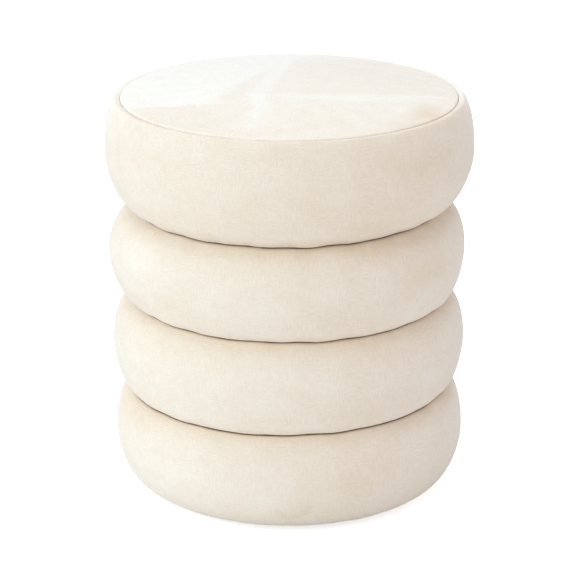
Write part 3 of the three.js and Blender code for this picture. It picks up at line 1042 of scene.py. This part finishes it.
def velvet_finish(pile):
    material, tree, shader = new_material(
        "ivory_velvet", Roughness=0.92, Specular_IOR_Level=0.15,
        Sheen_Weight=0.38, Sheen_Roughness=0.35, Sheen_Tint=(0.93, 0.92, 1.0, 1),
    )
    cloth = add(tree, "ShaderNodeUVMap", uv_map="cloth").outputs["UV"]
    nap_and_painted_light = add(tree, "ShaderNodeAttribute", attribute_name="nap_and_painted_light").outputs["Fac"]
    made = use_group(tree, pile, {"Cloth": cloth, "Nap_and_painted_light": nap_and_painted_light, "Resting": RESTING_IVORY,
                                  "Brushed": BRUSHED_IVORY, "Shaded": SHADED_IVORY,
                                  "Crease_shadow": CREASE_SHADOW_IVORY, "Mottle": 0.9})
    tree.links.new(made["Color"], shader.inputs["Base Color"])
    bump(tree, shader, made["Height"], 0.25 * MM, 0.5)
    return material


def fibre_finish(fibres, name, dark, light, fineness, contrast, depth, **constants):
    material, tree, shader = new_material(name, **constants)
    made = use_group(tree, fibres, {"Place": object_place(tree), "Dark": dark, "Light": light,
                                    "Fineness": fineness, "Contrast": contrast})
    tree.links.new(made["Color"], shader.inputs["Base Color"])
    bump(tree, shader, made["Height"], depth, 0.6)
    return material


PLY_PITCH = 3.4 * MM  # the height of one dark and one light ply together


def plywood_finish(timber):
    """Birch plywood: long grain on its faces, and stripes of ply round its edge."""
    material, tree, shader = new_material("birch_plywood", Roughness=0.62)
    place = object_place(tree)
    face = use_group(tree, timber, {"Place": place, "Early": (0.66, 0.48, 0.29, 1),
                                    "Late": (0.50, 0.33, 0.17, 1), "Rings": 120.0})
    height = add(tree, "ShaderNodeSeparateXYZ", {0: place}).outputs["Z"]
    ply = reckon(tree, "SINE", reckon(tree, "MULTIPLY", height, 2 * math.pi / PLY_PITCH))
    ply = reckon(tree, "MULTIPLY_ADD", ply, 4.0, 0.5, clamp=True)
    edge = blend_colour(tree, ply, (0.60, 0.43, 0.26, 1), (0.33, 0.20, 0.10, 1))
    normal = tree.nodes.new("ShaderNodeNewGeometry").outputs["Normal"]
    flat = reckon(tree, "ABSOLUTE", add(tree, "ShaderNodeSeparateXYZ", {0: normal}).outputs["Z"])
    flat = reckon(tree, "GREATER_THAN", flat, 0.5)
    tree.links.new(blend_colour(tree, flat, edge, face["Color"]), shader.inputs["Base Color"])
    bump(tree, shader, face["Height"], 0.15 * MM, 0.5)
    return material


def pine_finish(timber):
    material, tree, shader = new_material("planed_pine", Roughness=0.58)
    upright = add(tree, "ShaderNodeMapping", {"Vector": object_place(tree),
                                              "Rotation": (0, math.pi / 2, 0)}).outputs["Vector"]
    made = use_group(tree, timber, {"Place": upright, "Early": (0.80, 0.60, 0.36, 1),
                                    "Late": (0.55, 0.33, 0.15, 1), "Rings": 900.0})
    tree.links.new(made["Color"], shader.inputs["Base Color"])
    bump(tree, shader, made["Height"], 0.12 * MM, 0.5)
    return material


def metal_finish(scuffs, name, colour, worn, smooth, dull):
    material, tree, shader = new_material(name, Metallic=1.0)
    made = use_group(tree, scuffs, {"Place": object_place(tree), "Smooth": smooth, "Dull": dull})
    tree.links.new(blend_colour(tree, made["Mask"], colour, worn), shader.inputs["Base Color"])
    tree.links.new(made["Roughness"], shader.inputs["Roughness"])
    bump(tree, shader, made["Mask"], 0.03 * MM, 0.4)
    return material


def plastic_finish(scuffs):
    material, tree, shader = new_material("moulded_glide", Specular_IOR_Level=0.5)
    place = object_place(tree)
    made = use_group(tree, scuffs, {"Place": place, "Smooth": 0.38, "Dull": 0.75})
    colour = blend_colour(tree, made["Mask"], (0.018, 0.018, 0.021, 1), (0.10, 0.10, 0.11, 1))
    tree.links.new(colour, shader.inputs["Base Color"])
    tree.links.new(made["Roughness"], shader.inputs["Roughness"])
    bump(tree, shader, noise(tree, place, (900, 900, 900)), 0.05 * MM, 0.4)
    return material


def dust_cover_finish():
    """Black spunbonded cloth: fine tangled fibres, pressed together at rows of small points."""
    material, tree, shader = new_material("spunbonded_black", Roughness=0.88, Sheen_Weight=0.15,
                                          Sheen_Roughness=0.5)
    place = object_place(tree)
    fine = noise(tree, place, (1500, 1500, 1500), detail=4, roughness=0.7)
    cells = add(tree, "ShaderNodeTexVoronoi", {"Vector": place, "Scale": 620.0, "Randomness": 0.15},
                voronoi_dimensions="2D").outputs["Distance"]
    pressed = reckon(tree, "LESS_THAN", cells, 0.26)
    colour = blend_colour(tree, fine, (0.006, 0.006, 0.008, 1), (0.045, 0.045, 0.05, 1))
    colour = blend_colour(tree, pressed, colour, (0.012, 0.012, 0.014, 1))
    tree.links.new(colour, shader.inputs["Base Color"])
    bump(tree, shader, reckon(tree, "SUBTRACT", fine, pressed), 0.12 * MM, 0.7)
    return material


def twist_finish(name, dark, light):
    """Spun thread or cord: fibres drawn out round the pouf."""
    material, tree, shader = new_material(name, Roughness=0.8, Sheen_Weight=0.2, Sheen_Roughness=0.4)
    place = object_place(tree)
    fine = noise(tree, place, (2600, 2600, 2600), detail=3, roughness=0.7)
    broad = noise(tree, place, (90, 90, 90))
    share = reckon(tree, "MULTIPLY_ADD", broad, 0.5, reckon(tree, "MULTIPLY", fine, 0.5))
    share = reckon(tree, "MULTIPLY_ADD", share, 2.4, -0.7, clamp=True)
    tree.links.new(blend_colour(tree, share, dark, light), shader.inputs["Base Color"])
    bump(tree, shader, fine, 0.1 * MM, 0.6)
    return material


def nodes_like(stem):
    return [bpy.data.objects[name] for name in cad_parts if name.startswith(stem)]


def dress_all(velvets, foams, wadding, stitches, cords, dust_cover):
    fibres, timber, scuffs = fibre_group(), timber_group(), scuff_group()
    dress(velvet_finish(pile_group()), *velvets)
    dress(fibre_finish(fibres, "upholstery_foam", (0.80, 0.70, 0.42, 1), (0.90, 0.83, 0.58, 1),
                       950.0, 0.9, 0.5 * MM, Roughness=1.0, Specular_IOR_Level=0.1), *foams)
    dress(fibre_finish(fibres, "polyester_wadding", (0.80, 0.79, 0.76, 1), (0.93, 0.93, 0.91, 1),
                       420.0, 0.9, 0.9 * MM, Roughness=1.0, Sheen_Weight=0.3), wadding)
    dress(twist_finish("spun_thread", (0.36, 0.32, 0.25, 1), (0.54, 0.49, 0.41, 1)), stitches)
    dress(twist_finish("cotton_cord", (0.62, 0.57, 0.48, 1), (0.84, 0.80, 0.72, 1)), *cords)
    dress(dust_cover_finish(), dust_cover)
    dress(plywood_finish(timber), *nodes_like("seat_board"), *nodes_like("base_board"))
    dress(pine_finish(timber), *nodes_like("post_"))
    dress(fibre_finish(fibres, "tempered_hardboard", (0.20, 0.11, 0.055, 1), (0.36, 0.22, 0.12, 1),
                       1400.0, 1.2, 0.12 * MM, Roughness=0.55), *nodes_like("core_wrap"))
    dress(plastic_finish(scuffs), *nodes_like("glide_"))
    dress(metal_finish(scuffs, "zinc_plated_screw", (0.62, 0.58, 0.47, 1), (0.40, 0.38, 0.34, 1),
                       0.28, 0.55), *nodes_like("glide_screw"), *nodes_like("seat_board_screw"),
          *nodes_like("base_board_screw"))
    dress(metal_finish(scuffs, "galvanised_staple", (0.66, 0.67, 0.69, 1), (0.42, 0.43, 0.45, 1),
                       0.25, 0.5), *nodes_like("base_staple"))


# ------ studio


def add_sun(name, azimuth, elevation, energy, spread, colour):
    """A soft light from a direction: azimuth 0 is the camera's side, positive to the right."""
    bpy.ops.object.light_add(type="SUN", rotation=(math.pi / 2 - elevation, 0, azimuth))
    sun = bpy.context.object
    sun.name = name
    sun.data.energy = energy
    sun.data.angle = spread
    sun.data.color = colour


def make_studio():
    """Pale paper under the pouf, a little air light, and four soft lights round it."""
    nothing_selected()
    bpy.ops.mesh.primitive_plane_add(size=30, location=(0, 0, 0))
    floor = bpy.context.object
    floor.name = "studio_floor"
    material, tree, shader = new_material("studio_paper", Roughness=1.0, Specular_IOR_Level=0.0)
    shader.inputs["Base Color"].default_value = (0.88, 0.88, 0.88, 1)
    shader.inputs["Emission Strength"].default_value = 0.66
    # The paper is lit up for the camera alone, so that it doesn't light the pouf from below.
    seen = add(tree, "ShaderNodeLightPath").outputs["Is Camera Ray"]
    tree.links.new(seen, shader.inputs["Emission Color"])
    dress(material, floor)

    world = bpy.data.worlds.new("studio_air")
    bpy.context.scene.world = world
    world.use_nodes = True
    background = world.node_tree.nodes["Background"]
    background.inputs["Color"].default_value = (0.98, 0.99, 1.0, 1)
    background.inputs["Strength"].default_value = 0.35

    soft = math.radians(55)
    add_sun("window_light", math.radians(-76), math.radians(15), 1.3, soft, (0.66, 0.87, 1.0))
    add_sun("front_light", math.radians(-28), math.radians(33), 0.93, soft, (1.0, 0.95, 0.85))
    add_sun("back_light", math.radians(-165), math.radians(65), 1.38, 1.4 * soft, (1.0, 1.0, 0.98))
    add_sun("fill_light", math.radians(78), math.radians(20), 0.45, soft, (0.98, 0.92, 1.0))


CAMERA_DISTANCE = 6.05 * SEAM_HEIGHT
CAMERA_ELEVATION = 0.335  # radians above the level
CAMERA_LENS = 149.7


def make_camera():
    """A camera that looks down a little on the front of the pouf, from some way off."""
    back = CAMERA_DISTANCE * math.cos(CAMERA_ELEVATION)
    up = 0.5 * SEAM_HEIGHT + CAMERA_DISTANCE * math.sin(CAMERA_ELEVATION)
    bpy.ops.object.camera_add(location=(0, -back, up),
                              rotation=(math.pi / 2 - CAMERA_ELEVATION, 0, 0))
    camera = bpy.context.object
    camera.data.lens = CAMERA_LENS
    camera.data.sensor_width = 36
    camera.data.shift_x = 0.0014
    camera.data.shift_y = -0.0026
    camera.data.clip_end = 100
    bpy.context.scene.camera = camera
    bpy.context.scene.view_settings.view_transform = "Standard"


# ------ the pouf

make_camera()
make_studio()
velvets = make_velvet()
foams, wadding = make_foam()
stitches = make_stitches()
cords = [make_cord(f"{where}_cord_twist", f"{where}_crease_cord", height)
         for where, height in zip(("lower", "middle", "upper"), CREASES)]
dust_cover = make_dust_cover()
dress_all(velvets, foams, wadding, stitches, cords, dust_cover)
